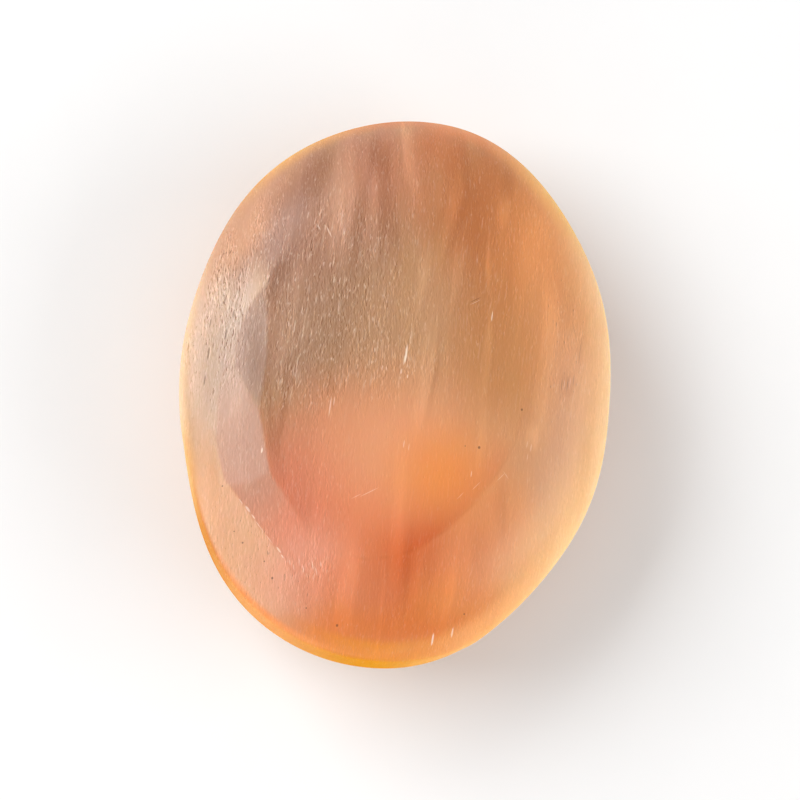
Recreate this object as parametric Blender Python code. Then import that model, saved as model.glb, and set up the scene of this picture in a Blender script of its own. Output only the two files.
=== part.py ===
"""Palm stone of fibrous orange selenite.

One natural piece: an oval pillow, ground and polished by hand until it fits
the palm. The grain runs along its length. The face that is looked at lies up
(+Z), its long axis runs along Y, and it rests on a small flat spot ground on
its back. The origin is the middle of the footprint, at the level of the flat.

All sizes below are in millimetres, and become metres when the mesh is made.
"""
import math

import bpy
import bmesh
from mathutils import Vector

MM = 0.001

# ---------------------------------------------------------------- dimensions
HALF_WIDTH = 25.6          # across the grain
HALF_LENGTH = 32.85        # along the grain
SQUARENESS = 2.07          # 2 is an ellipse, more is squarer
# The outline was ground by eye, so it strays a little from an oval:
# (times round, share of the radius, direction of its bulge in degrees)
OUTLINE_STRAY = ((3, 0.008, 12.0), (4, 0.0065, -16.0), (7, 0.0055, -25.0))

FACE_RISE = 12.4           # girdle to the crown of the face, before grinding
FACE_FULLNESS = 2.35       # 2 is an ellipse in section, more is flatter on top
BACK_DROP = 11.6           # girdle to the bottom of the back, before grinding
BACK_FULLNESS = 2.45
FLAT_DEPTH = 11.15         # girdle to the flat spot, which is ground last

# The girdle is ground steep from the left side round to the bottom end, where
# it meets the face in a soft edge.
GIRDLE_START, GIRDLE_PEAK, GIRDLE_END = 168.0, 262.0, 300.0   # degrees round
GIRDLE_CUT = 2.0           # how far the full face would overhang it
GIRDLE_LEAN = 0.14         # inward lean of the steep girdle, mm per mm
GIRDLE_SOFT = 0.25         # roundness of its edge

# Facets left by the wheel. Each follows a plane, given by the direction it falls
# towards and how steeply (degrees), and its height over the girdle plane at the
# stone's middle. The wheel rocks, so a facet keeps some of the dome's curve: the
# fourth number is how far it was brought to its plane.
FACE_FACETS = (
    (127.0, 2.2, 10.5, 0.62),              # upper main face
    (171.0, 1.5, 10.55, 0.66),             # lower main face
    (194.0, 22.8, 17.1, 0.70),             # left shoulder
    (216.0, 22.5, 17.85, 0.60),            # low left, inner
    (178.0, 13.8, 13.95, 0.70),            # small grey one, left
    (216.0, 24.4, 18.7, 0.60),             # low left, outer
)
FACE_EDGE = 0.04           # softness of their edges, in mm of height
# Towards the right and the upper end the face runs out with no edge at all:
# (direction in degrees, where it starts, over what length)
FADES = ((50.0, 4.0, 12.0), (95.0, 11.0, 7.0))
FADE_SOFT = 0.9
BACK_FACETS = (
    (12.0, 10.5, 12.6, 0.60),
    (150.0, 12.5, 13.25, 0.60),
    (207.0, 11.5, 12.95, 0.60),
    (314.0, 15.0, 14.1, 0.60),
    (79.0, 13.5, 14.3, 0.60),
)
BACK_EDGE = 0.15

SEGMENTS = 88              # round the outline
FACE_RINGS = 20            # from the crown to the girdle
BACK_RINGS = 13            # from the girdle to the flat


# ------------------------------------------------------------------- shaping
def outline(angle):
    """Radius of the girdle in the direction of angle, seen from above."""
    across = abs(math.cos(angle)) / HALF_WIDTH
    along = abs(math.sin(angle)) / HALF_LENGTH
    radius = (across ** SQUARENESS + along ** SQUARENESS) ** (-1.0 / SQUARENESS)
    stray = sum(share * math.cos(times * (angle - math.radians(bulge)))
                for times, share, bulge in OUTLINE_STRAY)
    return radius * (1.0 + stray)


def soft_step(t):
    t = min(1.0, max(0.0, t))
    return t * t * (3.0 - 2.0 * t)


def soft_over(t, soft):
    """How far t stands over zero, starting softly."""
    if t >= soft:
        return t
    return 0.0 if t <= -soft else (t + soft) ** 2 / (4.0 * soft)


def girdle_cut(angle):
    """How much fuller the face is than the girdle cut under it."""
    turn = math.degrees(angle) % 360.0
    rising = soft_step((turn - GIRDLE_START) / (GIRDLE_PEAK - GIRDLE_START))
    falling = soft_step((GIRDLE_END - turn) / (GIRDLE_END - GIRDLE_PEAK))
    return GIRDLE_CUT * rising ** 1.4 * falling


def edge_softness(x, y):
    """Softness of the face's edges at x, y."""
    fade = max(soft_step((x * math.cos(math.radians(turn)) + y * math.sin(math.radians(turn))
                          - start) / length) for turn, start, length in FADES)
    return FACE_EDGE + FADE_SOFT * fade


def grind(x, y, height, facets, soft):
    """Height of a dome once the facets are ground into it at x, y."""
    cut = 0.0
    for turn, lean, level, share in facets:
        out = x * math.cos(math.radians(turn)) + y * math.sin(math.radians(turn))
        plane = level - math.tan(math.radians(lean)) * out
        other = share * soft_over(height - plane, soft)
        # the deeper of two cuts, their meeting rounded over
        meet = max(0.0, soft - abs(cut - other)) / soft
        meet *= meet * min(soft, cut, other) * 0.25
        cut = max(cut, other) + meet
    return height - cut


def face_point(angle, tilt):
    """A point of the face: tilt 0 is the crown, a quarter turn the girdle."""
    spare = girdle_cut(angle)
    radius = (outline(angle) + spare) * math.sin(tilt) ** (2.0 / FACE_FULLNESS)
    height = FACE_RISE * max(0.0, math.cos(tilt)) ** (2.0 / FACE_FULLNESS)
    # the steep girdle starts upright and leans in as it climbs
    lean = GIRDLE_LEAN * height * height / (height + 1.5)
    wall = outline(angle) - lean * min(1.0, spare)
    radius -= min(1.0, 3.0 * spare) * soft_over(radius - wall, GIRDLE_SOFT)
    x, y = radius * math.cos(angle), radius * math.sin(angle)
    return Vector((x, y, grind(x, y, height, FACE_FACETS, edge_softness(x, y))))


def back_point(angle, tilt):
    """A point of the back, before its flat spot is ground."""
    radius = outline(angle) * math.sin(tilt) ** (2.0 / BACK_FULLNESS)
    height = BACK_DROP * max(0.0, math.cos(tilt)) ** (2.0 / BACK_FULLNESS)
    x, y = radius * math.cos(angle), radius * math.sin(angle)
    return Vector((x, y, -grind(x, y, height, BACK_FACETS, BACK_EDGE)))


def flat_tilt(angle):
    """Where the back reaches the level of the flat spot, by halving."""
    low, high = 0.0, 0.5 * math.pi
    for _ in range(40):
        middle = 0.5 * (low + high)
        if back_point(angle, middle).z < -FLAT_DEPTH:
            low = middle
        else:
            high = middle
    return high


# ------------------------------------------------------------------ the stone
def stone_mesh():
    angles = [2.0 * math.pi * i / SEGMENTS for i in range(SEGMENTS)]
    quarter = 0.5 * math.pi
    flat = [flat_tilt(a) for a in angles]

    shape = bmesh.new()
    crown = shape.verts.new(face_point(0.0, 0.0))
    rings = []
    for i in range(1, FACE_RINGS + 1):
        tilt = quarter * i / FACE_RINGS
        rings.append([shape.verts.new(face_point(a, tilt)) for a in angles])
    for i in range(1, BACK_RINGS + 1):
        share = i / BACK_RINGS
        ring = []
        for a, end in zip(angles, flat):
            point = back_point(a, quarter + (end - quarter) * share)
            if i == BACK_RINGS:
                point.z = -FLAT_DEPTH
            ring.append(shape.verts.new(point))
        rings.append(ring)
    middle = shape.verts.new((0.0, 0.0, -FLAT_DEPTH))

    for i in range(SEGMENTS):
        j = (i + 1) % SEGMENTS
        shape.faces.new((crown, rings[0][i], rings[0][j]))
        for upper, lower in zip(rings, rings[1:]):
            shape.faces.new((upper[i], lower[i], lower[j]))
            shape.faces.new((upper[i], lower[j], upper[j]))
        shape.faces.new((middle, rings[-1][j], rings[-1][i]))

    # origin: middle of the footprint, level with the flat spot
    xs = [v.co.x for v in shape.verts]
    ys = [v.co.y for v in shape.verts]
    shift = Vector((-(min(xs) + max(xs)) / 2.0, -(min(ys) + max(ys)) / 2.0,
                    FLAT_DEPTH))
    for v in shape.verts:
        v.co = (v.co + shift) * MM

    bmesh.ops.recalc_face_normals(shape, faces=shape.faces)
    mesh = bpy.data.meshes.new("palm_stone")
    shape.to_mesh(mesh)
    shape.free()
    mesh.shade_smooth()
    mesh.set_sharp_from_angle(angle=math.radians(30.0))
    return mesh


def stone_material():
    material = bpy.data.materials.new("selenite")
    material.use_nodes = True
    shader = material.node_tree.nodes["Principled BSDF"]
    shader.inputs["Base Color"].default_value = (0.66, 0.33, 0.17, 1.0)
    shader.inputs["Roughness"].default_value = 0.32
    shader.inputs["Metallic"].default_value = 0.0
    shader.inputs["IOR"].default_value = 1.52
    return material


def main():
    for old in list(bpy.data.objects):
        bpy.data.objects.remove(old, do_unlink=True)
    bpy.context.scene.unit_settings.system = "METRIC"
    bpy.context.scene.unit_settings.scale_length = 1.0

    stone = bpy.data.objects.new("palm_stone", stone_mesh())
    stone.data.materials.append(stone_material())
    bpy.context.scene.collection.objects.link(stone)


main()
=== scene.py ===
"""The looks of the palm stone: its ground and polished surface, the silky grain
of fibrous selenite, its colour zones, pits and flaws, and the studio round it.

Lengths are in millimetres until a mesh is made, unless a name says otherwise.
"""

import math

import bpy
import numpy as np
from mathutils import Matrix, Vector


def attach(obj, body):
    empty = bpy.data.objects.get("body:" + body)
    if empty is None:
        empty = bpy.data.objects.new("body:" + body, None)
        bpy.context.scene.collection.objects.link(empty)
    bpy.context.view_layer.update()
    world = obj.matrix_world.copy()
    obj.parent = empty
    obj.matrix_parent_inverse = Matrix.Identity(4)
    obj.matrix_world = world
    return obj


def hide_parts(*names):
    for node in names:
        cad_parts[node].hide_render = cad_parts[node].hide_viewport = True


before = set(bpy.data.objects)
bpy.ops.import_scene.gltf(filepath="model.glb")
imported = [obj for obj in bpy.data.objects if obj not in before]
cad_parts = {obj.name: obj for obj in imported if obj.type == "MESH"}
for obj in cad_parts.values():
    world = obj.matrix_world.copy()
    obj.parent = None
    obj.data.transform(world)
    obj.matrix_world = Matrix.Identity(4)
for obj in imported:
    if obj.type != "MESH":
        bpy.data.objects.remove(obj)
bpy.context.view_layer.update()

MM = 0.001

# --------------------------------------------------------------------- shape
# The same pillow as the solid: outline, section, steep girdle and facets.
HALF_WIDTH = 25.6
HALF_LENGTH = 32.85
SQUARENESS = 2.07
OUTLINE_STRAY = ((3, 0.008, 12.0), (4, 0.0065, -16.0), (7, 0.0055, -25.0))
FACE_RISE, FACE_FULLNESS = 12.4, 2.35
BACK_DROP, BACK_FULLNESS = 11.6, 2.45
FLAT_DEPTH = 11.15
GIRDLE_START, GIRDLE_PEAK, GIRDLE_END = 168.0, 262.0, 300.0
GIRDLE_CUT, GIRDLE_LEAN, GIRDLE_SOFT = 2.0, 0.14, 0.25
FACE_FACETS = (
    (127.0, 2.2, 10.5, 0.62),              # upper main face
    (171.0, 1.5, 10.55, 0.66),             # lower main face
    (194.0, 22.8, 17.1, 0.70),             # left shoulder
    (216.0, 22.5, 17.85, 0.60),            # low left, inner
    (178.0, 13.8, 13.95, 0.70),            # small grey one, left
    (216.0, 24.4, 18.7, 0.60),             # low left, outer
)
# The line where the pale outside of the low left ends, from its upper end down
FLANK_EDGE = ((-20.4, 3.0), (-20.5, -4.5), (-20.2, -9.1), (-18.8, -13.4), (-16.7, -15.7),
              (-14.8, -17.9), (-12.8, -20.0), (-10.9, -22.0), (-8.0, -27.0))
FACE_EDGE = 0.04
FADES = ((50.0, 4.0, 12.0), (95.0, 11.0, 7.0))
FADE_SOFT = 0.9
BACK_FACETS = (
    (12.0, 10.5, 12.6, 0.60),
    (150.0, 12.5, 13.25, 0.60),
    (207.0, 11.5, 12.95, 0.60),
    (314.0, 15.0, 14.1, 0.60),
    (79.0, 13.5, 14.3, 0.60),
)
BACK_EDGE = 0.15

FACE_CELLS = 256           # cells across the face
BACK_CELLS = 160           # cells across the back


def outline(angle):
    across = np.abs(np.cos(angle)) / HALF_WIDTH
    along = np.abs(np.sin(angle)) / HALF_LENGTH
    radius = (across ** SQUARENESS + along ** SQUARENESS) ** (-1.0 / SQUARENESS)
    stray = sum(share * np.cos(times * (angle - math.radians(bulge)))
                for times, share, bulge in OUTLINE_STRAY)
    return radius * (1.0 + stray)


def soft_step(t):
    t = np.clip(t, 0.0, 1.0)
    return t * t * (3.0 - 2.0 * t)


def soft_over(t, soft):
    """How far t stands over zero, starting softly."""
    return np.where(t >= soft, t,
                    np.where(t <= -soft, 0.0, (t + soft) ** 2 / (4.0 * soft)))


def girdle_cut(angle):
    turn = np.degrees(angle) % 360.0
    rising = soft_step((turn - GIRDLE_START) / (GIRDLE_PEAK - GIRDLE_START))
    falling = soft_step((GIRDLE_END - turn) / (GIRDLE_END - GIRDLE_PEAK))
    return GIRDLE_CUT * rising ** 1.4 * falling


def edge_softness(x, y):
    fade = 0.0
    for turn, start, length in FADES:
        along = x * math.cos(math.radians(turn)) + y * math.sin(math.radians(turn))
        fade = np.maximum(fade, soft_step((along - start) / length))
    return FACE_EDGE + FADE_SOFT * fade


def facet_plane(x, y, turn, lean, level):
    """Height of a facet's plane, which falls towards turn by lean degrees."""
    out = x * math.cos(math.radians(turn)) + y * math.sin(math.radians(turn))
    return level - math.tan(math.radians(lean)) * out


def grind(x, y, height, facets, soft):
    cut = np.zeros_like(height)
    for turn, lean, level, share in facets:
        other = share * soft_over(height - facet_plane(x, y, turn, lean, level), soft)
        meet = np.maximum(0.0, soft - np.abs(cut - other)) / soft
        meet = meet * meet * np.minimum(soft, np.minimum(cut, other)) * 0.25
        cut = np.maximum(cut, other) + meet
    return height - cut


def facet_reaches(x, y, height):
    """Where the colours of the main faces and other facets show, some painted
    reflection and shade, and the painted shade along the creases between them."""
    cuts = [share * (height - facet_plane(x, y, turn, lean, level))
            for turn, lean, level, share in FACE_FACETS]
    cuts = [np.maximum(cuts[0], cuts[1])] + cuts[2:] + [np.zeros_like(height)]
    crisp = 0.75 * edge_softness(x, y)
    # below and to the right the colours run over the edges
    soft = crisp + 0.13 * np.maximum(soft_step((x + 9.0) / 7.0),
                                     soft_step((-11.0 - y) / 5.0) * soft_step((x + 11.5) / 4.0))
    reaches, crease_shade = [], np.zeros_like(height)
    for i, cut in enumerate(cuts[:-1]):
        over = cut - np.maximum.reduce(cuts[:i] + cuts[i + 1:])
        reaches.append(soft_step(over / soft + 0.5))
        # the painted crease shade: the low outer facet has none of its own, the left
        # one loses it towards that facet, and the main face loses it where the salmon colour
        # starts
        shown = (1.0 - soft_step((-12.5 - y) / 3.0) * soft_step((-2.0 - x) / 4.0),
                 soft_step((y + 12.0) / 3.0), 0.0, 1.0, 0.0)[i]
        crease_shade = np.maximum(crease_shade, shown * (1.0 - soft_step(np.abs(over / crisp + 0.1))))
    # painted shade along the flank edge too, at half strength
    line = 1.0 - soft_step(np.abs(inside(x, y, FLANK_EDGE)) / 0.22)
    line *= soft_step((-3.0 - y) / 3.0) * soft_step((y + 22.5) / 2.0)
    crease_shade = np.maximum(crease_shade, 0.5 * line)
    crease_shade *= soft_step((0.3 - crisp) / 0.25) * soft_step((height - 6.0) / 2.0)
    return np.stack(reaches + [crease_shade], -1)


def face_dome(angle, tilt):
    """The face before its facets are ground: x, y and height."""
    spare = girdle_cut(angle)
    radius = (outline(angle) + spare) * np.sin(tilt) ** (2.0 / FACE_FULLNESS)
    height = FACE_RISE * np.maximum(0.0, np.cos(tilt)) ** (2.0 / FACE_FULLNESS)
    lean = GIRDLE_LEAN * height * height / (height + 1.5)
    wall = outline(angle) - lean * np.minimum(1.0, spare)
    radius = radius - np.minimum(1.0, 3.0 * spare) * soft_over(radius - wall, GIRDLE_SOFT)
    x, y = radius * np.cos(angle), radius * np.sin(angle)
    return x, y, height


def back_points(angle, tilt):
    radius = outline(angle) * np.sin(tilt) ** (2.0 / BACK_FULLNESS)
    height = BACK_DROP * np.maximum(0.0, np.cos(tilt)) ** (2.0 / BACK_FULLNESS)
    x, y = radius * np.cos(angle), radius * np.sin(angle)
    depth = grind(x, y, height, BACK_FACETS, np.full_like(x, BACK_EDGE))
    # the flat spot, ground last
    depth = FLAT_DEPTH - soft_over(FLAT_DEPTH - depth, 0.02)
    return np.stack((x, y, -depth), -1)


def even_tilts(shares, rise, fullness):
    """Tilts that step evenly along the section's curve, for shares 0 to 1."""
    tilt = np.linspace(0.0, 0.5 * math.pi, 4000)
    across = 0.5 * (HALF_WIDTH + HALF_LENGTH) * np.sin(tilt) ** (2.0 / fullness)
    up = rise * np.maximum(0.0, np.cos(tilt)) ** (2.0 / fullness)
    run = np.concatenate(([0.0], np.cumsum(np.hypot(np.diff(across), np.diff(up)))))
    return np.interp(shares * run[-1], run, tilt)


def disc_grid(cells):
    """A square grid bent into a disc: share of the radius and angle per vertex."""
    side = np.linspace(-1.0, 1.0, cells + 1)
    u, v = np.meshgrid(side, side)
    share = np.maximum(np.abs(u), np.abs(v))
    safe = np.where(share == 0.0, 1.0, share)
    wide = np.abs(u) >= np.abs(v)
    angle = np.where(
        wide,
        0.25 * math.pi * v / np.where(wide & (u != 0.0), u, 1.0) + np.where(u < 0.0, math.pi, 0.0),
        0.5 * math.pi - 0.25 * math.pi * u / np.where(~wide, np.where(v == 0.0, 1.0, v), 1.0)
        + np.where(v < 0.0, math.pi, 0.0))
    return share * safe / safe, np.where(share == 0.0, 0.0, angle)


def grid_rim(cells):
    """Indices of a grid's outer vertices, anticlockwise from the right middle."""
    n = cells + 1
    last = cells
    path = ([(r, last) for r in range(cells // 2, last)]
            + [(last, c) for c in range(last, 0, -1)]
            + [(r, 0) for r in range(last, 0, -1)]
            + [(0, c) for c in range(0, last)]
            + [(r, last) for r in range(0, cells // 2)])
    return [r * n + c for r, c in path]


def grid_faces(cells, offset, flip):
    n = cells + 1
    r, c = np.meshgrid(np.arange(cells), np.arange(cells), indexing="ij")
    a = (r * n + c).ravel() + offset
    quads = np.stack((a, a + 1, a + n + 1, a + n), -1)
    return quads[:, ::-1] if flip else quads


def stone_mesh():
    share, angle = disc_grid(FACE_CELLS)
    x, y, height = face_dome(angle, even_tilts(share, FACE_RISE, FACE_FULLNESS))
    facets = facet_reaches(x, y, height).reshape(-1, 6)
    face = np.stack((x, y, grind(x, y, height, FACE_FACETS, edge_softness(x, y))),
                    -1).reshape(-1, 3)
    share_b, angle_b = disc_grid(BACK_CELLS)
    # the back's outermost ring lies just under the girdle
    tilt_b = even_tilts(share_b * 0.994, BACK_DROP, BACK_FULLNESS)
    back = back_points(angle_b, tilt_b).reshape(-1, 3)
    points = np.concatenate((face, back))
    facets = np.concatenate((facets, np.zeros((len(back), 6))))

    quads = np.concatenate((grid_faces(FACE_CELLS, 0, False),
                            grid_faces(BACK_CELLS, len(face), True)))
    polygons = [tuple(q) for q in quads.tolist()]

    # join the two rims, which have different counts, with a band of triangles
    upper = grid_rim(FACE_CELLS)
    lower = [i + len(face) for i in grid_rim(BACK_CELLS)]
    i = j = 0
    while i < len(upper) or j < len(lower):
        if j >= len(lower) or (i < len(upper) and i * len(lower) <= j * len(upper)):
            polygons.append((upper[i % len(upper)], lower[j % len(lower)],
                             upper[(i + 1) % len(upper)]))
            i += 1
        else:
            polygons.append((upper[i % len(upper)], lower[j % len(lower)],
                             lower[(j + 1) % len(lower)]))
            j += 1
    return points, polygons, facets


def hills(x, y, sizes, seed):
    """Soft wandering values of about -1 to 1, from crossed waves."""
    rng = np.random.default_rng(seed)
    total = np.zeros_like(x)
    for size_x, size_y in sizes:
        for _ in range(5):
            turn, start = rng.uniform(-1.0, 1.0), rng.uniform(0.0, 2.0 * math.pi)
            total += np.sin(2.0 * math.pi * (x * math.cos(turn) / size_x
                                             + y * math.sin(turn) / size_y) + start)
    return total / (5.0 * len(sizes)) ** 0.5


def oval(x, y, middle, size, turn, soft, stray=0.0):
    """1 inside an oval seen from above, falling to 0 over a soft edge."""
    c, s = math.cos(math.radians(turn)), math.sin(math.radians(turn))
    u, v = x - middle[0], y - middle[1]
    reach = np.hypot((u * c + v * s) / size[0], (v * c - u * s) / size[1]) + stray
    return soft_step((1.0 + soft - reach) / (2.0 * soft))


def line_reach(x, y, x0, y0, x1, y1, half, soft):
    """An oval round the line from one point to another."""
    run = math.hypot(x1 - x0, y1 - y0)
    turn = math.degrees(math.atan2(y1 - y0, x1 - x0)) - 90.0
    return oval(x, y, ((x0 + x1) / 2, (y0 + y1) / 2), (half, run * 0.58), turn, soft)


def inside(x, y, line):
    """Signed distance from a line of points, positive to its left."""
    best, side = np.full(x.shape, 1e9), np.zeros(x.shape)
    for (x0, y0), (x1, y1) in zip(line, line[1:]):
        along_x, along_y = x1 - x0, y1 - y0
        share = ((x - x0) * along_x + (y - y0) * along_y) / (along_x ** 2 + along_y ** 2)
        share = np.clip(share, 0.0, 1.0)
        away_x, away_y = x - x0 - share * along_x, y - y0 - share * along_y
        gap = np.hypot(away_x, away_y)
        turn = np.sign(along_x * away_y - along_y * away_x)
        side = np.where(gap < best, turn, side)
        best = np.minimum(best, gap)
    return best * side


def zone_reaches(x, y, height, facets, y_shift):
    """How far each soft colour, and the rim's painted glow, reaches at points of the stone."""
    stray = 0.11 * hills(x, y, ((9.0, 22.0), (4.0, 15.0)), 5)
    face = soft_step((height - 11.0) / 4.0)
    main, left, low, grey, outer, _ = facets.T
    rest = 1.0 - np.clip(main + left + low + grey, 0.0, 1.0)
    flank = soft_step(inside(x, y, FLANK_EDGE) / 0.35 + 0.5)
    places = {"all": 1.0, "main": main, "grey": grey, "left": left, "low": low,
              "inner": np.maximum(main, flank) * (1.0 - grey), "rest": rest,
              "rest+left": rest + left,
              "wall": soft_step((14.0 - height) / 5.0) * soft_step((height - 0.5) / 7.0),
              "flank": flank * (1.0 - main) * (1.0 - grey),
              "outside": (1.0 - flank) * (1.0 - main) * (1.0 - grey)}
    reaches = []
    for _, where, middle, size, turn, soft, strength in ZONES:
        # the softest colours lie deep, and their edges do not feather
        own = stray * min(1.0, max(0.0, (0.8 - soft) / 0.2))
        reach = oval(x, y, middle, size, turn, soft, own) * places[where]
        reaches.append(reach * strength * (1.0 if where == "wall" else face))
    # the painted glow of the thin rim; its colour and depth change round the stone
    turn = np.degrees(np.arctan2(y - y_shift, x)) % 360.0
    rho = np.hypot(x, y - y_shift) / outline(np.radians(turn))
    # on the steep girdle it reaches lower
    lowest = 9.9 - 1.9 * soft_step((turn - 190.0) / 40.0) * soft_step((312.0 - turn) / 30.0)
    fade = soft_step((height - lowest) / 3.2)
    side = soft_step((12.5 - height) / 2.5)
    for i, (_, spot, start, width, strength) in enumerate(PAINTED_RIM_GLOW):
        before, after = PAINTED_RIM_GLOW[i - 1][1], PAINTED_RIM_GLOW[(i + 1) % len(PAINTED_RIM_GLOW)][1]
        off = (turn - spot + 180.0) % 360.0 - 180.0
        near = np.where(off < 0.0, 1.0 + off / ((spot - before) % 360.0),
                        1.0 - off / ((after - spot) % 360.0))
        # where two neighbours meet, their shares add up to one
        near = soft_step(near)
        band = soft_step((rho - start) / width)
        reaches.append(near * np.maximum(band, side) * fade * strength)
    return reaches


def linear(code):
    """A hex colour as linear light."""
    parts = np.array([int(code[i:i + 2], 16) / 255.0 for i in (1, 3, 5)])
    return np.where(parts <= 0.04045, parts / 12.92, ((parts + 0.055) / 1.055) ** 2.4)


def stain_and_painted_light(x, y, height, facets, y_shift):
    """The stone's broad colours, painted one zone over another, among them painted sheen,
    reflection and shade, with the rim's painted glow over them.
    """
    colour = np.empty(x.shape + (3,))
    colour[:] = linear(GROUND)
    reaches = zone_reaches(x, y, height, facets, y_shift)
    for row, reach in zip(ZONES, reaches):
        colour += (linear(row[0]) - colour) * reach[:, None]
    rims = reaches[len(ZONES):]
    painted_glow = sum(linear(row[0]) * reach[:, None] for row, reach in zip(PAINTED_RIM_GLOW, rims))
    return colour * (1.0 - sum(rims)[:, None]) + painted_glow


def silk_and_painted_shading(x, y, height, crease_shade):
    """Bands of the face, lighter over 0 and darker under it, less the painted shade along the
    creases.
    """
    face = soft_step((height - 13.0) / 3.0)
    # their edges feather across the grain
    x = x + 0.35 * hills(x, y, ((1.3, 9.0), (2.6, 16.0)), 11)
    total = np.zeros_like(x)
    for x0, y0, x1, y1, half, strength in BANDS:
        if y0 < -8.0:
            half, strength = half * 1.15, strength * 0.85
        if y0 > 20.0 and strength < 0.0:
            strength *= 0.7
        total += line_reach(x, y, x0, y0, x1, y1, half * 1.15, 0.85) * strength
    return total * face - CREASE_SHADE * crease_shade


def grounds(x, y, height):
    """Where the ground tooth shows, where pits are open, and where it is calm."""
    stray = 0.16 * hills(x, y, ((6.0, 9.0), (3.0, 5.0)), 23)
    face = soft_step((height - 12.5) / 3.0)
    tooth = 0.20 + 0.0 * x
    for middle, size, turn, soft, level in TOOTH:
        reach = oval(x, y, middle, size, turn, soft, stray)
        tooth = tooth + (level - tooth) * reach
    pits = np.zeros_like(x)
    for middle, size, turn, soft, level in PITTED:
        pits = np.maximum(pits, oval(x, y, middle, size, turn, soft, stray) * level)
    calm = oval(x, y, (0.5, -12.0), (15.0, 9.5), 0.0, 0.45, stray)
    return np.stack((tooth * face, pits * face, calm * face), -1)


def build_stone():
    points, polygons, facets = stone_mesh()
    low, high = points.min(0), points.max(0)
    shift = np.array((-(low[0] + high[0]) / 2.0, -(low[1] + high[1]) / 2.0, FLAT_DEPTH))
    points = points + shift
    mesh = bpy.data.meshes.new("stone_surface")
    mesh.from_pydata((points * MM).tolist(), [], polygons)
    mesh.update()
    mesh.shade_smooth()
    x, y, height = points.T
    paint = mesh.attributes.new("stain_and_painted_light", "FLOAT_COLOR", "POINT")
    paint.data.foreach_set("color", np.c_[
        stain_and_painted_light(x, y, height, facets, shift[1]), np.ones(len(x))].ravel())
    paint = mesh.attributes.new("silk_and_painted_shading", "FLOAT", "POINT")
    paint.data.foreach_set("value", silk_and_painted_shading(x, y, height, facets[:, 5]))
    paint = mesh.attributes.new("grounds", "FLOAT_COLOR", "POINT")
    paint.data.foreach_set("color", np.c_[grounds(x, y, height), np.ones(len(x))].ravel())
    stone = bpy.data.objects.new("stone_surface", mesh)
    bpy.context.scene.collection.objects.link(stone)
    return stone


# ------------------------------------------------------------------ material
class Graph:
    """Short ways to write shader nodes."""

    def __init__(self, tree):
        self.tree = tree

    def node(self, kind, inputs=None, **settings):
        made = self.tree.nodes.new("ShaderNode" + kind)
        for name, value in settings.items():
            setattr(made, name, value)
        for key, value in (inputs or {}).items():
            self.feed(made.inputs[key], value)
        return made

    def feed(self, socket, value):
        if isinstance(value, bpy.types.NodeSocket):
            self.tree.links.new(value, socket)
        else:
            socket.default_value = value

    def math(self, operation, a, b=0.0, clamp=False):
        return self.node("Math", {0: a, 1: b}, operation=operation,
                         use_clamp=clamp).outputs[0]

    def add(self, a, b):
        return self.math("ADD", a, b)

    def times(self, a, b):
        return self.math("MULTIPLY", a, b)

    def stretch(self, vector, scale):
        return self.node("VectorMath", {0: vector, 1: scale},
                         operation="MULTIPLY").outputs[0]

    def plus(self, vector, other):
        return self.node("VectorMath", {0: vector, 1: other},
                         operation="ADD").outputs[0]

    def span(self, value, low, high, to_low=0.0, to_high=1.0, smooth=True):
        return self.node("MapRange", {0: value, 1: low, 2: high, 3: to_low, 4: to_high},
                         interpolation_type="SMOOTHSTEP" if smooth else "LINEAR",
                         clamp=True).outputs[0]

    def noise(self, vector, detail=2.0, rough=0.5, twist=0.0):
        return self.node("TexNoise", {"Vector": vector, "Scale": 1.0, "Detail": detail,
                                      "Roughness": rough, "Distortion": twist},
                         noise_dimensions="3D").outputs[0]

    def blend(self, share, a, b, how="MIX"):
        made = self.node("Mix", {0: share}, data_type="RGBA", blend_type=how,
                         clamp_factor=True)
        self.feed(made.inputs[6], a)
        self.feed(made.inputs[7], b)
        return made.outputs[2]

    def fused(self, a, b, c):
        """a times b plus c."""
        return self.node("Math", {0: a, 1: b, 2: c}, operation="MULTIPLY_ADD").outputs[0]

    def fleck(self, vector, middle, size):
        """1 inside a small upright oval, falling to 0 at its edge."""
        local = self.node("VectorMath", {
            0: vector, 1: (1.0 / size[0], 1.0 / size[1], 0.0),
            2: (-middle[0] / size[0], -middle[1] / size[1], 0.0)},
            operation="MULTIPLY_ADD").outputs[0]
        reach = self.node("VectorMath", {0: local}, operation="LENGTH").outputs["Value"]
        return self.span(reach, 0.55, 1.15, 1.0, 0.0)


def srgb(code):
    """A hex colour as linear RGBA."""
    parts = [int(code[i:i + 2], 16) / 255.0 for i in (1, 3, 5)]
    linear = [p / 12.92 if p <= 0.04045 else ((p + 0.055) / 1.055) ** 2.4 for p in parts]
    return (*linear, 1.0)


GROUND = "#C0905E"

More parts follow.
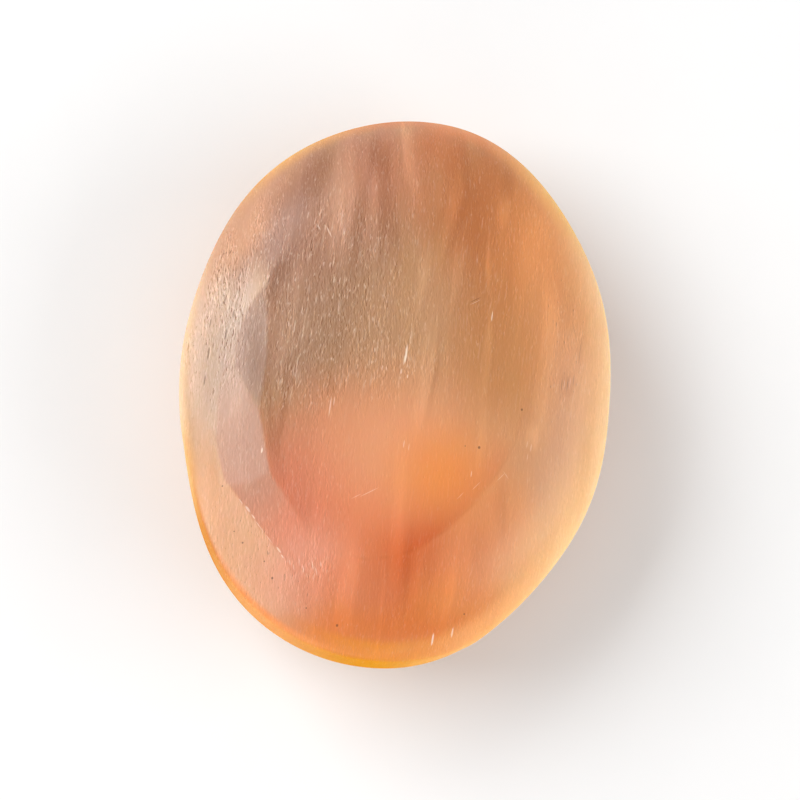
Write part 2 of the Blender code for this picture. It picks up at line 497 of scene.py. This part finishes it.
# Soft colour zones of the face, each an oval seen from above: colour, which
# facets it shows on, middle, size, turn in degrees, softness of its edge, strength
ZONES = (
    ("#E29A49", "wall", (0.0, 0.0), (60.0, 60.0), 0.0, 1.00, 0.75),      # amber sides
    ("#AC826B", "main", (-13.5, 6.0), (7.0, 13.0), -6.0, 0.55, 0.80),    # grey, left
    ("#D9BBA6", "rest+left", (-20.6, 3.0), (5.2, 13.0), 4.0, 0.60, 0.90),  # left shoulder, painted sheen
    ("#B19580", "rest+left", (-19.6, 1.0), (2.8, 6.5), 0.0, 0.70, 0.60),   # its pale middle, painted sheen too
    ("#9D6446", "rest", (-16.0, 17.5), (4.0, 8.0), -30.0, 0.55, 0.75),   # above it
    ("#EAB590", "rest", (-18.2, 18.0), (2.6, 6.5), -30.0, 0.60, 0.70),   # lighter edge of it
    ("#0C0C0C", "all", (-13.2, 18.6), (2.4, 6.8), -14.0, 0.70, 0.50),    # dark streak
    ("#B38168", "all", (-8.5, 20.0), (10.0, 11.0), -10.0, 0.55, 0.80),   # mauve, top left
    ("#BD8573", "all", (-4.0, 26.0), (4.5, 5.0), 0.0, 0.60, 0.60),       # mauve, top
    ("#C19072", "all", (-9.8, 21.5), (2.6, 5.5), -8.0, 0.60, 0.55),      # darker between
    ("#D3580D", "all", (2.6, 28.8), (3.0, 3.4), 0.0, 0.60, 0.50),        # dark, top end
    ("#C8855B", "all", (3.0, 25.0), (9.0, 7.0), 0.0, 0.60, 0.70),        # brown, top
    ("#BD7340", "all", (9.5, 17.0), (7.0, 15.0), -4.0, 0.60, 0.85),      # brown orange
    ("#EA9E61", "all", (18.0, 14.0), (7.0, 15.0), 8.0, 0.60, 0.85),      # right shoulder
    ("#D99A68", "all", (19.5, -1.0), (6.5, 15.0), 0.0, 0.60, 0.80),      # peach, right
    ("#AA8365", "all", (-6.5, 4.5), (6.5, 9.5), 0.0, 0.60, 0.75),        # taupe
    ("#C69872", "all", (1.5, 5.5), (6.5, 9.0), 0.0, 0.60, 0.70),         # tan, middle
    ("#C48854", "all", (10.5, 3.0), (5.0, 10.0), 0.0, 0.60, 0.70),       # brown, right
    ("#D39A6C", "all", (13.5, -12.0), (5.5, 11.0), -28.0, 0.60, 0.80),   # tan, low right
    ("#E0985A", "rest", (13.0, -20.0), (6.0, 9.0), -35.0, 0.50, 0.80),   # peach, low right, lightened with painted light outside the facet edge
    ("#E2AF8B", "outside", (-15.5, -20.5), (5.8, 10.5), 35.0, 0.45, 0.90),  # peach, low left, lightened with painted reflection of the outer facet
    ("#B4917E", "grey", (-16.8, 2.0), (5.0, 9.0), 0.0, 0.60, 0.95),      # small grey facet, darkened with painted shade: it reflects less
    ("#AC8C66", "main", (-12.8, -7.0), (4.4, 4.6), 0.0, 0.50, 0.70),     # edge of the heart
    ("#D57B5F", "inner", (-8.5, -13.5), (8.0, 8.5), -20.0, 0.80, 0.85),  # salmon, low left
    ("#FD9771", "flank", (-14.6, -16.5), (4.2, 5.6), 35.0, 0.80, 0.60),    # pink, beside it
    ("#BF8F76", "flank", (-16.3, -10.6), (4.8, 8.8), 14.0, 0.80, 0.90),     # pale grey pink, with painted light that evens out the shade step at the facets' joint
    ("#E8A38B", "all", (-7.5, -23.5), (5.5, 5.0), 20.0, 0.80, 0.75),    # pink, below it
    ("#D0580D", "all", (4.0, -21.5), (5.6, 8.5), 4.0, 0.80, 0.85),       # deep orange
    ("#DE8F5D", "rest", (9.5, -20.0), (4.4, 8.0), -14.0, 0.60, 0.70),    # orange
    ("#C34B15", "main", (8.0, -13.0), (6.0, 3.4), 40.0, 0.60, 0.45),     # edge of the face, darkened with painted shade inside the facet edge
    ("#D98153", "all", (-2.0, -25.5), (6.0, 4.6), 0.0, 0.70, 0.75),      # orange, bottom
    ("#E18A40", "all", (9.0, -26.0), (5.5, 4.0), 20.0, 0.70, 0.70),      # light orange
    ("#DD7D38", "all", (1.0, -30.2), (13.0, 3.4), 4.0, 0.60, 0.80),      # golden lower end
    ("#EE8C5B", "all", (-1.5, -15.0), (5.0, 5.0), 0.0, 0.90, 0.60),     # under the heart
    ("#E6A277", "all", (0.5, -7.5), (9.0, 6.8), 0.0, 0.90, 0.95),        # warm heart, the stone's colour with a painted glow of light from behind
    ("#ED9446", "all", (5.8, -10.6), (4.8, 4.4), 10.0, 0.95, 0.75),     # its orange core, part of that painted glow
)

# Painted glow of the light that comes through the thin rim, seen from above:
# colour, direction in degrees round, share of the radius where it starts, over
# what share it comes in, strength
PAINTED_RIM_GLOW = (
    ("#FAC894", 2.0, 0.74, 0.24, 0.85),    # right
    ("#FAC993", 30.0, 0.78, 0.22, 0.85),
    ("#F2B460", 58.0, 0.88, 0.09, 0.85),   # upper right
    ("#E88C4C", 78.0, 0.90, 0.07, 0.80),
    ("#D07A48", 94.0, 0.93, 0.05, 0.85),   # top
    ("#D89A58", 118.0, 0.92, 0.06, 0.85),
    ("#BD8B6E", 144.0, 0.84, 0.14, 0.80),  # upper left
    ("#E4BE98", 176.0, 0.940, 0.050, 0.80),  # left
    ("#E8C09A", 192.0, 0.950, 0.040, 0.80),
    ("#E0A768", 207.0, 0.940, 0.050, 0.85),
    ("#C8782E", 224.0, 0.965, 0.014, 0.92), # lower left
    ("#EE9857", 248.0, 0.950, 0.020, 0.97),
    ("#E08A1E", 270.0, 0.900, 0.030, 0.97), # bottom
    ("#EDA464", 292.0, 0.890, 0.060, 0.95),
    ("#FAC78E", 326.0, 0.72, 0.25, 0.90),  # lower right
)

# Where the ground tooth is coarse: middle, size, turn, softness, level
TOOTH = (
    ((-9.0, 7.5), (13.0, 14.0), 0.0, 0.40, 1.00),
    ((-6.0, 26.0), (12.0, 6.0), 0.0, 0.50, 0.40),
    ((6.0, 14.0), (8.0, 11.0), 0.0, 0.50, 0.36),
    ((-16.8, 1.5), (2.4, 6.0), 0.0, 0.40, 0.60),
    ((-17.0, -9.0), (3.6, 7.5), 10.0, 0.50, 0.38),
    ((1.0, -11.0), (12.0, 9.0), 0.0, 0.35, 0.12),
    ((-10.0, -14.0), (5.0, 7.0), 0.0, 0.50, 0.36),
    ((-8.0, -22.3), (2.6, 1.6), 15.0, 0.60, 0.60),
)

# Where small pits are open: middle, size, turn, softness, level
PITTED = (
    ((-21.0, 4.5), (3.2, 9.5), -3.0, 0.30, 1.00),
    ((-15.5, -22.0), (4.0, 6.5), 30.0, 0.45, 0.55),
    ((-8.5, -25.0), (4.5, 2.5), 0.0, 0.50, 0.60),
    ((18.5, 6.0), (3.0, 9.0), 0.0, 0.50, 0.45),
)

# Silky bands inside the stone, along the grain, lighter or darker than it:
# both ends, half width, strength
BANDS = (
    (-13.9, 24.7, -13.7, 20.5, 0.59, 0.3), (-8.6, 29.7, -8.4, 22.8, 0.71, 0.3),
    (-8.5, 24.1, -8.4, 15.9, 1.07, 1.3), (-8.4, 17.1, -7.9, 11.8, 0.83, 0.6),
    (-5, 23.4, -4.7, 14.5, 0.59, 0.9), (-2.2, 31.6, -1.5, 26.4, 0.54, 1.4),
    (-1.5, 26.8, -0.4, 21.7, 0.48, 0.6), (4.7, 26.3, 4.4, 21, 0.54, 0.6),
    (4.4, 21.6, 3.2, 14.8, 0.59, 0.5), (10.1, 22.1, 10.1, 18.9, 0.36, 0.7),
    (5.3, 15.6, 5.2, 9.8, 0.31, 0.7), (9.8, 10.7, 9.6, 0, 0.31, 0.7),
    (2.9, 6, 3.1, -1.8, 0.38, 0.5), (2.9, -1.3, 2.6, -5.9, 0.36, 0.3),
    (-4.1, 11.5, -3.9, 0.6, 0.26, 0.3), (-14.6, 17.9, -14.7, 13.6, 0.31, 1),
    (-13, 9.7, -13.5, 1.5, 0.33, 1.1), (-11.2, 5.7, -11.2, 3.1, 0.26, 0.9),
    (-8, -12.2, -6.7, -29.5, 0.38, 0.4), (1.1, -11.6, 1.9, -23.7, 0.43, 0.5),
    (-3.7, -20.1, -3.3, -29, 0.77, 0.8), (4.1, -20.1, 4.1, -24.6, 0.4, 0.3),
    (8.6, -17.9, 7.7, -26.1, 0.83, 1), (15.9, -4.2, 16, -6.3, 0.48, 0.9),
    (9.9, -1.4, 9.9, -8.9, 0.31, 0.5), (16.5, 0.1, 16.5, -6.1, 0.48, 0.4),
    (16.8, 11.1, 16.6, 2.5, 0.71, 0.5), (2.5, 24.2, 2.4, 20.4, 0.38, 0.4),
    (8.8, 16.5, 8.8, 12.1, 0.31, 1.3), (1.7, 14.9, 1.4, 8.5, 0.54, 0.8),
    (0.3, -23.1, 1, -31.6, 0.36, 0.6), (-18.5, -3.5, -18.2, -8.1, 0.26, 0.6),
    (-11.2, 26.9, -12.7, 18.4, 0.95, -1.3), (-14.8, 12.1, -15.7, 7.5, 0.71, -1),
    (-6, 21.7, -6.7, 11.9, 0.5, -0.6), (-5.5, 28.6, -5, 24.1, 0.95, -1.6),
    (-4, 25.2, -3.3, 14.9, 0.59, -1.2), (-2.6, 20.2, -1.6, 12.7, 0.36, -0.9),
    (5, 28.8, 6.1, 22.4, 0.59, -0.7), (5.6, 21.4, 4.4, 15.7, 0.38, -0.5),
    (10.2, 27.5, 10.8, 23.3, 0.71, -0.8), (-17.2, 3.8, -16.1, -2.9, 0.95, -1.1),
    (-14.8, -3.3, -12.9, -10.7, 0.48, -0.9), (-8.1, 1.3, -7.8, -2.6, 0.19, -0.7),
    (-12.8, -2, -12.9, -8.4, 0.29, -1.1), (3.7, 3.5, 3.5, -2.6, 0.38, -0.8),
    (3.1, -17.4, 2.8, -25.8, 0.48, -0.6), (5.3, -20.1, 5.5, -24.7, 0.59, -0.2),
    (10.1, -16.8, 10.6, -20.1, 0.71, -0.2), (13, -11.5, 13.6, -16.4, 0.59, -0.6),
    (-2.1, -26, -1.6, -30.4, 0.83, -0.1), (19.3, 2.6, 19.4, 0.1, 0.48, -0.5),
    (21, 7.4, 20.9, 4.7, 0.36, -0.3), (-5.9, 4.2, -6, 2.2, 0.15, 0.6),
    (-10.1, 3.8, -10.1, -0.5, 0.19, 0.5), (-11.6, 0.8, -11.6, -3.7, 0.19, -0.1),
    (-16.7, 7.4, -17.1, 3.8, 0.36, -0.5), (4.3, 3, 4.2, -0.6, 0.19, -0.6),
    (10.6, 6.6, 10.5, 1.7, 0.36, -0.2),
)

CREASE_SHADE = 0.30              # painted shade along the creases between the facets, darker in the same measure

# Short healed cracks, white in themselves, open scratches with a painted highlight where they
# catch the light, and dark ones:
# middle, half width, half length, strength, lean in degrees
FLAWS = (
    (0.45, 2.7, 0.13, 1.15, 0.95, 2.0), (0.30, 1.9, 0.09, 0.60, 0.7, 2.0),
    (0.10, 0.6, 0.10, 0.35, 0.7, 2.0), (0.85, 0.1, 0.09, 0.25, 0.7, 2.0),
    (-7.6, -4.3, 0.09, 1.30, 0.6, 2.0), (-7.2, -3.6, 0.08, 0.60, 0.5, 2.0),
    (6.9, -29.2, 0.12, 0.75, 1.0, 2.0), (9.1, -28.2, 0.11, 0.60, 0.8, 2.0),
    (9.9, 8.2, 0.07, 0.65, 0.8, 2.0), (-12.6, 4.6, 0.08, 0.90, 0.5, 2.0),
    (-9.8, 16.2, 0.10, 0.80, 0.6, -30.0), (-11.0, 16.6, 0.08, 0.40, 0.5, -30.0),
    (-14.8, -10.0, 0.10, 0.35, 0.8, 2.0), (1.2, -7.7, 0.06, 0.50, 0.55, 2.0),
    (1.8, -8.0, 0.06, 0.45, 0.50, 2.0), (9.2, -10.3, 0.06, 0.40, 0.55, 2.0),
    (15.3, -6.2, 0.05, 0.45, 0.45, 2.0), (15.8, -6.5, 0.05, 0.50, 0.50, 2.0),
    (15.5, -7.6, 0.05, 0.40, 0.35, 2.0),
    (18.8, 1.3, 0.06, 0.80, -0.45, 2.0), (19.5, 1.5, 0.06, 0.95, -0.55, 2.0),
    (20.2, 2.1, 0.06, 0.80, -0.40, 2.0), (20.7, 5.2, 0.05, 1.60, -0.35, 2.0),
    (19.1, 1.4, 0.05, 0.70, 0.35, 2.0), (19.8, 1.7, 0.05, 0.80, 0.35, 2.0),
    (-22.2, 0.9, 0.12, 0.80, -0.75, 2.0), (-20.4, 3.2, 0.11, 0.75, -0.7, 2.0),
    (-22.3, -2.2, 0.10, 0.70, -0.7, 2.0), (-19.8, 5.6, 0.10, 0.60, -0.6, 2.0),
    (-22.4, 4.6, 0.10, 0.60, -0.6, 2.0), (-21.0, 7.2, 0.09, 0.55, -0.6, 2.0),
    (-22.0, 1.0, 0.08, 0.80, 0.5, 2.0), (-20.2, 3.3, 0.08, 0.75, 0.5, 2.0),
)
# Chips along the edge between the two low facets, and the scuffed spot under it
CHIPS = (
    (-15.7, -16.7, 0.15, 0.50, 0.60, -42.0), (-15.0, -17.5, 0.10, 0.35, 0.70, -42.0),
    (-16.6, -15.9, 0.07, 0.45, 0.45, -42.0), (-14.2, -18.5, 0.06, 0.80, 0.45, -42.0),
    (-12.9, -19.9, 0.06, 0.70, 0.45, -42.0), (-11.7, -21.0, 0.12, 0.45, 0.70, -42.0),
    (-11.2, -21.7, 0.09, 0.30, 0.70, -42.0),
    (-10.3, -22.3, 0.05, 0.35, 0.55, -14.0), (-9.8, -22.8, 0.05, 0.40, 0.60, -14.0),
    (-9.2, -22.2, 0.06, 0.50, 0.50, -14.0), (-8.7, -22.9, 0.05, 0.50, 0.60, -14.0),
    (-7.7, -22.4, 0.06, 0.60, 0.60, -14.0), (-7.2, -23.1, 0.06, 0.50, 0.65, -14.0),
    (-6.8, -22.2, 0.05, 0.40, 0.50, -14.0), (-8.2, -23.6, 0.05, 0.30, 0.45, -14.0),
)
# Two hairline scratches and the scuffs, which lie across the grain
SCRATCHES = (
    (12.6, -10.3, 0.04, 0.80, 0.40, 40.0), (13.2, -10.0, 0.04, 0.60, 0.40, -42.0),
    (9.9, -11.6, 0.05, 0.70, 0.35, 40.0), (8.2, -12.9, 0.05, 0.60, 0.30, 40.0),
    (7.8, 9.9, 0.05, 0.80, -0.65, 58.0), (7.8, 9.6, 0.04, 0.75, 0.4, 58.0),
    (-2.2, -13.6, 0.05, 1.30, 0.45, 58.0), (-3.6, -14.2, 0.05, 0.70, 0.4, 58.0),
)

# Single dark specks: middle, half width
SPECKS = (
    (14.3, -2.3, 0.14), (9.8, -7.2, 0.16), (-12.1, -24.2, 0.14), (-4.2, -28.8, 0.15),
    (10.2, -26.0, 0.10), (-15.9, -20.5, 0.11), (-18.9, -14.3, 0.10), (8.2, -7.2, 0.07),
    (-17.0, -19.3, 0.08), (-13.2, -22.4, 0.09), (-7.9, -27.2, 0.09),
)


def selenite():
    material = bpy.data.materials.new("selenite_polished")
    material.use_nodes = True
    tree = material.node_tree
    tree.nodes.clear()
    g = Graph(tree)

    place = g.node("TexCoord").outputs["Object"]
    mm = g.stretch(place, (1000.0, 1000.0, 1000.0))
    height = g.node("SeparateXYZ", {0: mm}).outputs[2]
    # the placed marks are on the face only
    face = g.span(height, 11.0, 14.0)
    # the broad colours, with painted sheen, reflection and shade, and the rim's painted glow
    stained_and_painted_light = g.node("Attribute", attribute_name="stain_and_painted_light").outputs["Color"]
    # the face's bands, less the painted shade along the creases
    bands_and_crease_shade = g.node("Attribute", attribute_name="silk_and_painted_shading").outputs["Fac"]
    where = g.node("SeparateColor",
                   {0: g.node("Attribute", attribute_name="grounds").outputs["Color"]}).outputs
    tooth, pitted, calm = where[0], where[1], where[2]

    # the fibres run along Y, wandering a little
    wander = g.noise(g.stretch(mm, (1 / 15, 1 / 30, 1 / 15)), 1.0)
    sway = g.node("CombineXYZ", {0: g.times(g.add(wander, -0.5), 5.0)}).outputs[0]
    grain = g.plus(mm, sway)

    broad = g.noise(g.stretch(grain, (1 / 3.4, 1 / 26, 1 / 8)), 2.0, 0.55)
    thin = g.noise(g.stretch(grain, (1 / 1.1, 1 / 13, 1 / 4)), 2.0, 0.6)
    fibre = g.noise(g.stretch(grain, (1 / 0.34, 1 / 3.6, 1 / 2)), 2.0, 0.6)

    # silky bands: the pattern all round, the face's own bands, and the fibres,
    # which are lost in the milky heart
    clear = g.fused(calm, -0.75, 1.0)
    silk_and_painted_shading = g.fused(g.add(broad, -0.5), 0.30, g.times(g.add(thin, -0.5), 0.20))
    silk_and_painted_shading = g.fused(g.add(fibre, -0.5), 0.20, silk_and_painted_shading)
    silk_and_painted_shading = g.times(silk_and_painted_shading, g.times(clear, g.span(height, 11.0, 15.0, 1.0, 0.62)))
    silk_and_painted_shading = g.fused(bands_and_crease_shade, g.span(thin, 0.3, 0.7, 0.18, 0.28), silk_and_painted_shading)

    # the tooth left by grinding: short relief along the grain, its light and shade painted as if
    # lit from the left
    strokes = g.node("VectorRotate", {"Vector": mm, "Angle": math.radians(-4.0)},
                     rotation_type="Z_AXIS").outputs[0]
    tooth_map = (1 / 0.21, 1 / 0.80, 1 / 0.5)
    lit = g.noise(g.stretch(g.plus(strokes, (-0.055, 0.0, 0.0)), tooth_map), 2.0, 0.6)
    shaded = g.noise(g.stretch(g.plus(strokes, (0.055, 0.0, 0.0)), tooth_map), 2.0, 0.6)
    rows = g.times(g.fused(pitted, 0.35, tooth), g.span(fibre, 0.35, 0.65, 0.45, 1.75))
    # painted light and shade of the tooth, added to the bands' tone
    silk_and_painted_shading = g.fused(g.times(g.add(lit, g.times(shaded, -1.0)), rows), 1.30, silk_and_painted_shading)
    # its crests are broken into short bright dashes: painted glints
    crest = g.noise(g.stretch(grain, (1 / 0.16, 1 / 0.75, 1 / 0.5)), 1.0, 0.5)
    comb = g.noise(g.stretch(grain, (1 / 0.20, 1 / 2.8, 1 / 0.5)), 1.0, 0.5)
    glints = g.add(g.span(crest, 0.585, 0.74), g.times(g.span(comb, 0.60, 0.74), 0.75))
    glints = g.times(glints, rows)
    bright = g.add(1.0, silk_and_painted_shading)
    tone = g.node("CombineColor", {0: g.fused(silk_and_painted_shading, 0.74, 1.0), 1: bright,
                                   2: g.fused(silk_and_painted_shading, 1.28, 1.0)}).outputs[0]
    colour = g.blend(1.0, stained_and_painted_light, tone, "MULTIPLY")

    # needle pits: painted light on the side that faces the light, painted shade on the other
    open_lit = g.span(g.fused(pitted, 0.09, g.fused(tooth, 0.04, lit)), 0.72, 0.80)
    open_dark = g.span(g.fused(pitted, 0.09, g.fused(tooth, 0.04, shaded)), 0.72, 0.80)
    # painted glints on the tooth's crests
    colour = g.blend(g.times(glints, 0.27), colour, srgb("#FBE3CE"))
    colour = g.blend(g.times(open_lit, g.fused(pitted, -0.08, 0.20)), colour, srgb("#FBE0C8"))
    colour = g.blend(g.times(open_dark, g.fused(pitted, 0.52, 0.16)), colour, srgb("#84543A"))

    # the flaws, in two turned frames
    def marked(rows, sums):
        for lean in sorted({row[5] for row in rows}):
            turned = g.node("VectorRotate", {"Vector": mm, "Angle": math.radians(lean)},
                            rotation_type="Z_AXIS").outputs[0]
            turned = g.plus(turned, (0.0, 0.0, 0.0))
            c, s = math.cos(math.radians(lean)), math.sin(math.radians(lean))
            for x, y, half, long, strength, own in rows:
                if own != lean:
                    continue
                reach = g.fleck(turned, (x * c - y * s, x * s + y * c), (half, long))
                kind = 0 if strength > 0.0 else 1
                sums[kind] = g.fused(reach, abs(strength), sums[kind])
        return sums

    sums = marked(FLAWS, [0.0, 0.0])
    sums = marked(CHIPS, sums)
    sums = marked(SCRATCHES, sums)
    for x, y, half in SPECKS:
        sums[1] = g.fused(g.fleck(mm, (x, y), (half, half * 1.15)), 0.9, sums[1])
    lights, darks = sums
    broken = g.span(fibre, 0.25, 0.6, 0.55, 1.0)
    # the light flaws: white healed cracks, and painted highlights on open scratches
    colour = g.blend(g.math("MULTIPLY", g.times(lights, broken), g.times(face, 0.85), True),
                     colour, srgb("#FFEBD8"))
    colour = g.blend(g.math("MULTIPLY", darks, g.times(face, 0.75), True),
                     colour, srgb("#5E3822"))

    shader = g.node("BsdfPrincipled")
    shader.subsurface_method = "RANDOM_WALK"
    g.feed(shader.inputs["Base Color"], colour)
    shader.inputs["Metallic"].default_value = 0.0
    shader.inputs["IOR"].default_value = 1.52
    # the steep girdle shows the colour of the light that comes through it
    upright = g.node("SeparateXYZ", {0: g.node("NewGeometry").outputs["Normal"]}).outputs[2]
    g.feed(shader.inputs["Specular IOR Level"], g.span(upright, 0.35, 0.95, 0.0, 0.42))
    shader.inputs["Subsurface Weight"].default_value = 0.85
    shader.inputs["Subsurface Radius"].default_value = (1.0, 0.55, 0.32)
    shader.inputs["Subsurface Scale"].default_value = 0.004
    rough = g.fused(tooth, 0.05, g.span(fibre, 0.2, 0.8, 0.27, 0.35, False))
    g.feed(shader.inputs["Roughness"], g.fused(open_dark, 0.2, rough))

    # relief in millimetres: silky ridges and the tooth
    relief = g.fused(thin, 0.020, g.times(g.times(lit, tooth), 0.030))
    bump = g.node("Bump", {"Strength": 1.0, "Distance": 0.001, "Height": relief})
    g.feed(shader.inputs["Normal"], bump.outputs[0])
    output = g.node("OutputMaterial")
    tree.links.new(shader.outputs[0], output.inputs[0])
    return material


stone = build_stone()
stone.data.materials.append(selenite())
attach(stone, "root")
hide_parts("palm_stone")


# -------------------------------------------------------------------- studio
def plain_material(name, colour, roughness):
    material = bpy.data.materials.new(name)
    material.use_nodes = True
    g = Graph(material.node_tree)
    shader = material.node_tree.nodes["Principled BSDF"]
    place = g.node("TexCoord").outputs["Object"]
    grain = g.noise(g.stretch(place, (90.0, 90.0, 90.0)), 3.0)
    tone = g.span(grain, 0.3, 0.7, colour * 0.99, colour, False)
    g.feed(shader.inputs["Base Color"],
           g.node("CombineColor", {0: tone, 1: tone, 2: tone}).outputs[0])
    shader.inputs["Roughness"].default_value = roughness
    return material


def build_floor():
    mesh = bpy.data.meshes.new("floor")
    half = 1.5
    mesh.from_pydata([(-half, -half, 0), (half, -half, 0), (half, half, 0), (-half, half, 0)],
                     [], [(0, 1, 2, 3)])
    floor = bpy.data.objects.new("floor", mesh)
    bpy.context.scene.collection.objects.link(floor)
    floor.data.materials.append(plain_material("floor_paper", 0.93, 0.9))
    return floor


build_floor()

AIM = Vector((0.68, -1.16, 12.15)) * MM
CAMERA_TILT, CAMERA_FROM = 9.0, 255.0      # degrees off straight down, and whence
ROLL = 5.62                                # the stone's top leans right by this
DISTANCE = 0.2642
LENS = 100.0


def build_camera():
    data = bpy.data.cameras.new("camera")
    data.lens = LENS
    data.sensor_width = 36.0
    data.clip_start = 0.01
    camera = bpy.data.objects.new("camera", data)
    tilt, whence = math.radians(CAMERA_TILT), math.radians(CAMERA_FROM)
    back = Vector((math.sin(tilt) * math.cos(whence), math.sin(tilt) * math.sin(whence),
                   math.cos(tilt)))
    roll = math.radians(ROLL)
    up = Vector((-math.sin(roll), math.cos(roll), 0.0))
    right = up.cross(back).normalized()
    up = back.cross(right).normalized()
    turn = Matrix((right, up, back)).transposed()
    camera.matrix_world = Matrix.Translation(AIM + back * DISTANCE) @ turn.to_4x4()
    bpy.context.scene.collection.objects.link(camera)
    bpy.context.scene.camera = camera


build_camera()


def area_light(name, place, aim, size, watts, colour=(1.0, 1.0, 1.0)):
    data = bpy.data.lights.new(name, "AREA")
    data.shape = "RECTANGLE"
    data.size, data.size_y = size
    data.energy = watts
    data.color = colour
    light = bpy.data.objects.new(name, data)
    light.location = place
    direction = Vector(aim) - Vector(place)
    light.rotation_euler = direction.to_track_quat("-Z", "Y").to_euler()
    bpy.context.scene.collection.objects.link(light)
    return light


area_light("window", (-0.66, 0.26, 0.58), (0, 0, 0.01), (0.9, 0.53), 7.5)
area_light("fill", (0.80, -0.15, 0.38), (0, 0, 0.01), (0.9, 0.6), 4.6)
area_light("front", (-0.05, -0.85, 0.22), (0, 0, 0.01), (1.0, 0.35), 2.2)

world = bpy.data.worlds.new("studio")
world.use_nodes = True
world.node_tree.nodes["Background"].inputs["Color"].default_value = (1.0, 1.0, 1.0, 1.0)
world.node_tree.nodes["Background"].inputs["Strength"].default_value = 0.38
bpy.context.scene.world = world
bpy.context.scene.view_settings.view_transform = "Standard"
